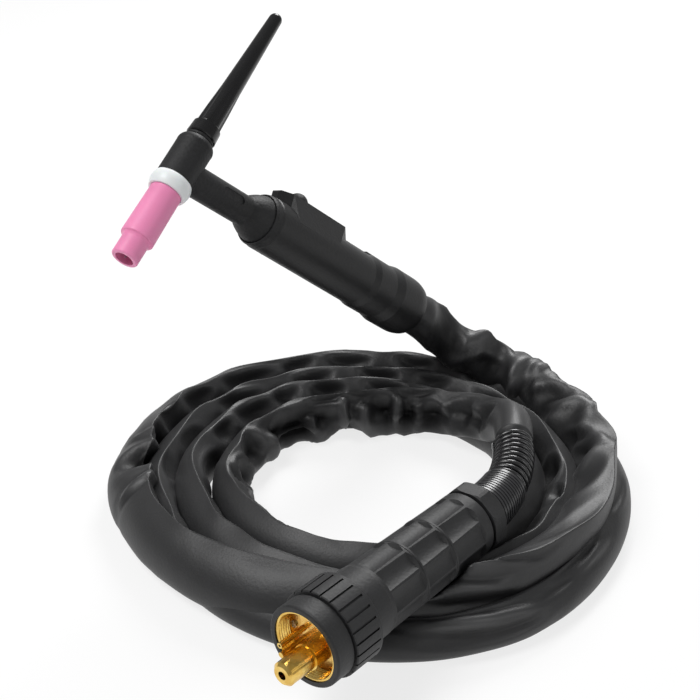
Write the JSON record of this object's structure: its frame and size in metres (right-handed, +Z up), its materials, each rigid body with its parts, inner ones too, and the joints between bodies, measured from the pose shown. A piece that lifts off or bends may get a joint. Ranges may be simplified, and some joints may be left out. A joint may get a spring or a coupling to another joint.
{
  "type": "tig torch",
  "caption": "Gas-cooled TIG torch: pink cup, long back cap and trigger handle, on a sheathed cable coiled flat that ends in a brass screw connector with a kink spring",
  "frame": {"origin": "The grip: the point of the handle's axis in the palm, 140 mm behind the crossing of the handle's axis and the cap's axis.", "axes": "+Z up. The handle's axis points at heading 39.4 degrees from +X and falls 39.5 degrees towards the cable; the coil lies level 112.5 mm below the origin."},
  "size_m": [0.3034, 0.3402, 0.2605],
  "materials": {
    "black_plastic": "fine grain",
    "black_rubber": "matte",
    "black_spring": "gloss black",
    "brass": "turned and plated",
    "cap_plastic": "polished",
    "copper": "turned copper",
    "pink_ceramic": "satin glazed alumina",
    "sheath_fabric": "coated cloth",
    "steel": "plain",
    "tungsten": "ground",
    "white_gasket": "matte white"
  },
  "bodies": {
    "torch": {"cable_coil": "sheath_fabric", "cable_core_rear": "black_rubber", "cable_crimp_ferrule": "brass", "cable_riser": "sheath_fabric", "cable_tail": "sheath_fabric", "centre_plug": "brass", "collet": "copper", "collet_body": "copper", "connector_crimp": "copper", "connector_handle": "black_plastic", "connector_rear_nut": "black_plastic", "contact_disc": "brass", "disc_screws": "steel", "handle_front_ring": "black_rubber", "handle_left_shell": "black_plastic", "handle_right_shell": "black_plastic", "handle_screws": "steel", "head_insulation": "black_rubber", "heat_shield_gasket": "white_gasket", "insulating_body": "black_plastic", "kink_spring": "black_spring", "micro_switch": "black_plastic", "neck_tube": "brass", "nozzle": "pink_ceramic", "nut_retaining_ring": "steel", "pilot_wires": "black_rubber", "power_cable_fitting": "brass", "power_cable_front": "black_rubber", "rear_bush": "black_rubber", "spring_sleeve": "black_rubber", "stem_nut": "brass", "switch_carrier": "black_plastic", "switch_terminals": "brass", "torch_head_core": "brass", "trigger_lead": "black_rubber"},
    "electrode": {"electrode": "tungsten"},
    "cap_seal": {"cap_oring": "black_rubber"},
    "cap": {"back_cap": "cap_plastic"},
    "trigger": {"trigger_button": "black_rubber"},
    "plunger": {"switch_plunger": "white_gasket"},
    "connector_nut": {"nut_grip": "black_plastic", "nut_insert": "brass"},
    "pin_hollow": {"control_pin_hollow": "brass"},
    "pin_flat": {"control_pin_flat": "brass"}
  },
  "joints": [
    {"name": "electrode_feed", "type": "slide", "parent": "torch", "child": "electrode", "axis": [-0.4183, -0.7625, -0.4935], "range_m": [0, 0.012]},
    {"name": "cap_rise", "type": "slide", "parent": "torch", "child": "cap_seal", "axis": [0.4183, 0.7625, 0.4935], "range_m": [0, 0.003]},
    {"name": "cap_turn", "type": "hinge", "parent": "cap_seal", "child": "cap", "pos_m": [-0.08348, -0.06857, 0.08905], "axis": [0.4183, 0.7625, 0.4935], "range_deg": [0, 1080]},
    {"name": "trigger_press", "type": "slide", "parent": "torch", "child": "trigger", "axis": [-0.2461, -0.6427, -0.7255], "range_m": [0, 0.0015], "stiffness_N_per_m": 2500},
    {"name": "plunger_press", "type": "slide", "parent": "torch", "child": "plunger", "axis": [-0.2461, -0.6427, -0.7255], "range_m": [0, 0.0015]},
    {"name": "nut_turn", "type": "hinge", "parent": "torch", "child": "connector_nut", "pos_m": [-0.0166, -0.2519, -0.068], "axis": [0.6508, 0.7593, 0], "continuous": true},
    {"name": "pin_hollow_press", "type": "slide", "parent": "torch", "child": "pin_hollow", "axis": [0.6508, 0.7593, 0], "range_m": [0, 0.003], "stiffness_N_per_m": 1500},
    {"name": "pin_flat_press", "type": "slide", "parent": "torch", "child": "pin_flat", "axis": [0.6508, 0.7593, 0], "range_m": [0, 0.003], "stiffness_N_per_m": 1500}
  ],
  "couplings": [
    {"joint": "cap_rise", "follows": "cap_turn", "m_per_rad": 0.00015915},
    {"joint": "plunger_press", "follows": "trigger_press", "ratio": 1}
  ]
}
